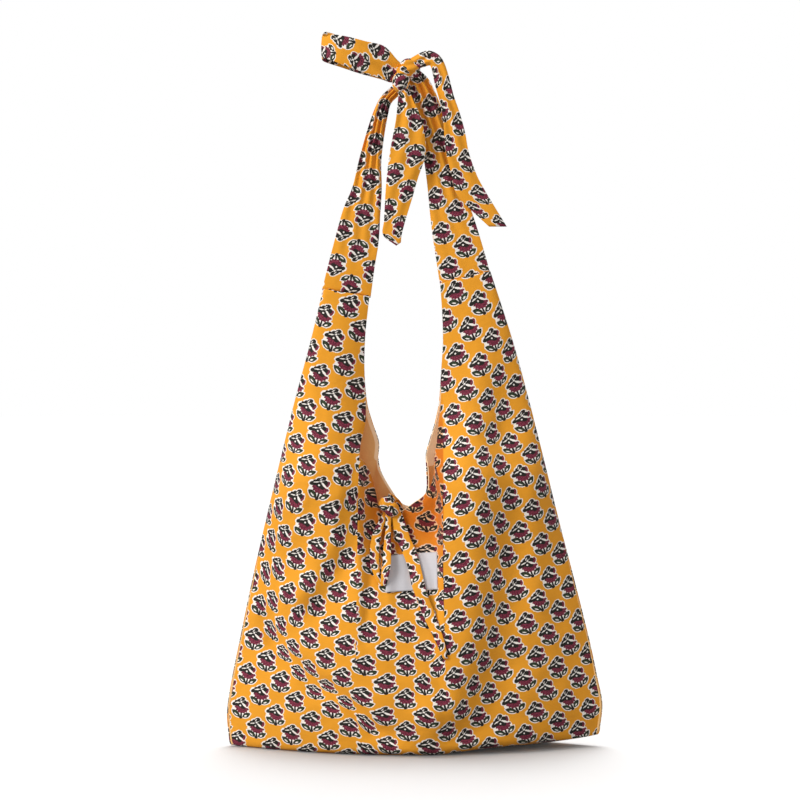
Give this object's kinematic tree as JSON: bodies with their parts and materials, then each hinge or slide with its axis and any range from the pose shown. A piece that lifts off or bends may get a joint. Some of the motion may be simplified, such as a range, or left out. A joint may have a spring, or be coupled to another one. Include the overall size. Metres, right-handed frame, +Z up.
{
  "type": "shoulder tote bag",
  "caption": "Slouchy cotton shoulder tote with long strap bands tied in a bow, a curved mouth held by a narrow tie, and a bare label.",
  "frame": {"origin": "middle of the base, on the surface that the bag stands on", "axes": "+Z up along the straps, +X to the bag's right side as seen from the front, the front faces -Y"},
  "size_m": [0.4015, 0.1368, 0.7661],
  "materials": {
    "printed_cotton": "matte plain weave with a small flower sprig print",
    "plain_lining": "matte plain beige weave",
    "woven_label": "smooth woven tape, bare"
  },
  "bodies": {
    "root": {"panel_front": "printed_cotton", "panel_back": "printed_cotton", "lining_front": "plain_lining", "lining_back": "plain_lining", "strap_left": "printed_cotton", "strap_right": "printed_cotton", "knot": "printed_cotton", "bow_loop": "printed_cotton", "tail_front": "printed_cotton", "tail_right": "printed_cotton", "tie_knot": "printed_cotton", "tie_loop": "printed_cotton", "tie_end": "printed_cotton", "tie_back": "printed_cotton", "label": "woven_label"}
  },
  "joints": []
}
